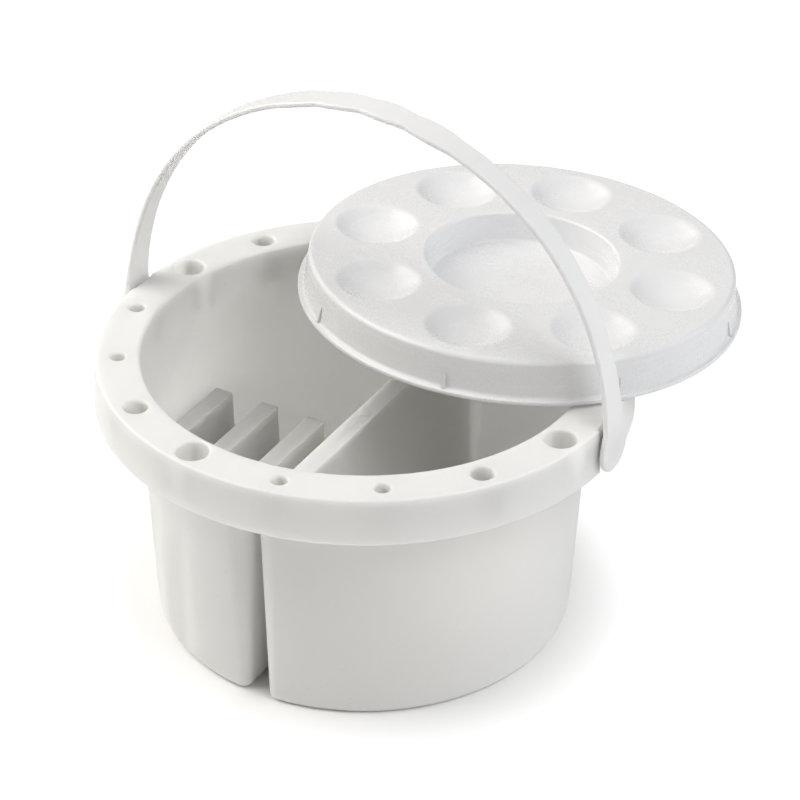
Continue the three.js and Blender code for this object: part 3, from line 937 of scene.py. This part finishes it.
# %% A recipe for white plastic
def plastic(name, colour, roughness, grain, waviness, scattering, depth, edge_radius, seed):
    """A finish; grain, waviness, depth and the edge radius are in millimetres."""
    material = bpy.data.materials.new(name)
    material.use_nodes = True
    tree = material.node_tree
    tree.nodes.clear()
    place = node(tree, "ShaderNodeTexCoord", output=3)

    def noise(scale, detail, shift=0.0, stretch=(1, 1, 1)):
        coordinates = node(
            tree,
            "ShaderNodeMapping",
            None,
            {0: place, "Location": (seed + shift, shift, seed), "Scale": stretch},
        )
        return node(
            tree,
            "ShaderNodeTexNoise",
            None,
            {"Vector": coordinates, "Scale": scale, "Detail": detail, "Roughness": 0.5},
        )

    drift = noise(9.0, 2.0)
    slow = noise(24.0, 1.0, 3.0)
    fine = noise(1700.0, 2.0, 5.0)
    rubbed = noise(60.0, 6.0, 7.0, (1.0, 1.0, 9.0)).step(0.50, 0.80)
    dust = noise(700.0, 0.0, 11.0).step(0.82, 0.86)

    def dimmed(factor):
        return tuple(factor * c for c in colour[:3]) + (1.0,)

    tinted = mix_colour(tree, drift.step(0.25, 0.75), dimmed(0.98), colour)
    base = mix_colour(tree, dust * 0.4, tinted, dimmed(0.85))
    rough = (fine - 0.5) * 0.06 + (slow - 0.5) * 0.05 + rubbed * 0.02 + roughness

    height = (fine - 0.5) * grain + (slow - 0.5) * waviness + dust * 0.002
    relief = {"Strength": 1.0, "Distance": MM, "Height": height}
    if edge_radius > 0:
        relief["Normal"] = node(
            tree, "ShaderNodeBevel", {"samples": 8}, {"Radius": edge_radius * MM}
        )
    bump = node(tree, "ShaderNodeBump", None, relief)
    shader = node(
        tree,
        "ShaderNodeBsdfPrincipled",
        None,
        {
            "Base Color": base,
            "Roughness": rough,
            "Normal": bump,
            "IOR": 1.49,
            "Subsurface Weight": scattering,
            "Subsurface Radius": (1.0, 1.0, 1.0),
            "Subsurface Scale": depth * MM,
        },
    )
    node(tree, "ShaderNodeOutputMaterial", None, {"Surface": shader})
    return material


print("recipe for plastic ready")

# %% [markdown]
# ### Three whites
#
# The colours are read against the picture under the lights below. The tub leans to yellow, the
# other two a little to blue.

# %% Finishes of the three pieces
tub.data.materials.clear()
tub.data.materials.append(
    plastic(
        "warm_white_satin",
        colour=(0.965, 0.958, 0.922, 1.0),
        roughness=0.42,
        grain=0.0016,
        waviness=0.010,
        scattering=1.0,
        depth=7.0,
        edge_radius=0.45,
        seed=1.0,
    )
)
handle.data.materials.append(
    plastic(
        "cool_white_strap",
        colour=(0.878, 0.880, 0.888, 1.0),
        roughness=0.38,
        grain=0.0010,
        waviness=0.008,
        scattering=0.4,
        depth=2.5,
        edge_radius=0.0,
        seed=2.0,
    )
)
lid.data.materials.append(
    plastic(
        "white_gloss",
        colour=(0.846, 0.850, 0.868, 1.0),
        roughness=0.27,
        grain=0.0006,
        waviness=0.005,
        scattering=0.3,
        depth=3.0,
        edge_radius=0.0,
        seed=3.0,
    )
)
print("finishes:", [m.name for m in bpy.data.materials])

# %% [markdown]
# ## The camera
#
# The picture was taken with a long lens from about a metre away, at the level of somebody who
# looks down on a table. The place and the lens were found by fitting the ellipses of the rim,
# the band, the foot and the lid to the picture, so they are plain numbers here.

# %% Camera
camera_data = bpy.data.cameras.new("camera")
camera_data.lens = 122.273
camera_data.sensor_width = 36.0
camera = bpy.data.objects.new("camera", camera_data)
camera.location = Vector(AXIS) + Vector((431.16, -746.79, 636.51)) * MM
camera.rotation_euler = [math.radians(a) for a in (57.4583, -0.5390, 29.4742)]
bpy.context.scene.collection.objects.link(camera)
bpy.context.scene.camera = camera
print("camera at", [round(v, 3) for v in camera.location])

# %% [markdown]
# ## Floor and light
#
# The product stands on a white sweep that is lit until it is pure white. Only the ground close
# to the tub keeps a soft contact shadow. To the camera the floor fades to plain white with
# distance, and to everything else it stays a white sheet that throws light back up into the
# channel under the rim.
#
# The light comes from five large soft boxes: one high and one low at the left, one at the left
# behind, one low at the right, and a smaller one high at the front right. None stands at the
# camera, so the front of the tub is the darkest side, the left side is warm and nearly white,
# and the top of the rim is bright.

# %% Floor
# In metres from the tub's axis, as far as the camera sees.
SHADOW_FADES_FROM, SHADOW_FADES_TO = 0.074, 0.108
floor_mesh = bpy.data.meshes.new("floor")
floor_mesh.from_pydata([(-6, -6, 0), (6, -6, 0), (6, 6, 0), (-6, 6, 0)], [], [(0, 1, 2, 3)])
floor = bpy.data.objects.new("floor", floor_mesh)
bpy.context.scene.collection.objects.link(floor)

floor_material = bpy.data.materials.new("white_sweep")
floor_material.use_nodes = True
tree = floor_material.node_tree
tree.nodes.clear()
position = node(tree, "ShaderNodeNewGeometry")
from_axis = node(
    tree,
    "ShaderNodeVectorMath",
    {"operation": "DISTANCE"},
    {0: position, 1: tuple(AXIS)},
    output=1,
)
paper = node(
    tree, "ShaderNodeTexNoise", None, {"Vector": position, "Scale": 300.0, "Detail": 3.0}
)
sheet_rough = (paper - 0.5) * 0.1 + 0.8
sheet = node(
    tree,
    "ShaderNodeBsdfPrincipled",
    None,
    {"Base Color": (0.9, 0.9, 0.9, 1.0), "Roughness": sheet_rough, "Specular IOR Level": 0.2},
)
glow = node(tree, "ShaderNodeEmission", None, {"Color": (1, 1, 1, 1), "Strength": 1.05})
seen = node(tree, "ShaderNodeLightPath", output=0)
fade = from_axis.step(SHADOW_FADES_FROM, SHADOW_FADES_TO) * seen
surface = node(tree, "ShaderNodeMixShader", None, {0: fade, 1: sheet, 2: glow})
node(tree, "ShaderNodeOutputMaterial", None, {"Surface": surface})
floor_mesh.materials.append(floor_material)
print("floor ready")

# %% Lights
# Directions are given as the camera sees them: right, away and up, in metres.
RIGHT = Vector((0.8705, 0.4920, 0.0))
AWAY = Vector((-0.4920, 0.8705, 0.0))
UP = Vector((0.0, 0.0, 1.0))
WARM, PLAIN, COOL = (1.0, 0.972, 0.915), (1.0, 1.0, 1.0), (0.975, 0.99, 1.0)


def seen_from_camera(right, away, up):
    return Vector(AXIS) + RIGHT * right + AWAY * away + UP * up


def softbox(name, place, side, power, colour):
    """A square area light that looks at the middle of the tub; its power is in watts."""
    data = bpy.data.lights.new(name, "AREA")
    data.shape = "SQUARE"
    data.size = side
    data.energy = power
    data.color = colour
    light = bpy.data.objects.new(name, data)
    light.location = seen_from_camera(*place)
    aim = seen_from_camera(0, 0, 0.08) - light.location
    light.rotation_euler = aim.to_track_quat("-Z", "Y").to_euler()
    bpy.context.scene.collection.objects.link(light)


softbox("left_box", (-0.95, 0.1, 1.15), 1.0, 13.2, WARM)
softbox("left_low_box", (-1.3, 0.1, 0.6), 1.2, 2.6, WARM)
softbox("left_back_box", (-1.0, 1.0, 0.8), 1.0, 6.6, WARM)
softbox("right_box", (1.4, 0.1, 0.6), 1.2, 5.2, COOL)
softbox("front_right_box", (0.7, -0.6, 1.2), 0.8, 9.4, PLAIN)

world = bpy.data.worlds.new("studio")
bpy.context.scene.world = world
world.use_nodes = True
backdrop = world.node_tree.nodes["Background"]
backdrop.inputs["Color"].default_value = (1.0, 1.0, 1.0, 1.0)
backdrop.inputs["Strength"].default_value = 0.12
bpy.context.scene.view_settings.view_transform = "Standard"
print("lights:", [light.name for light in bpy.data.lights])
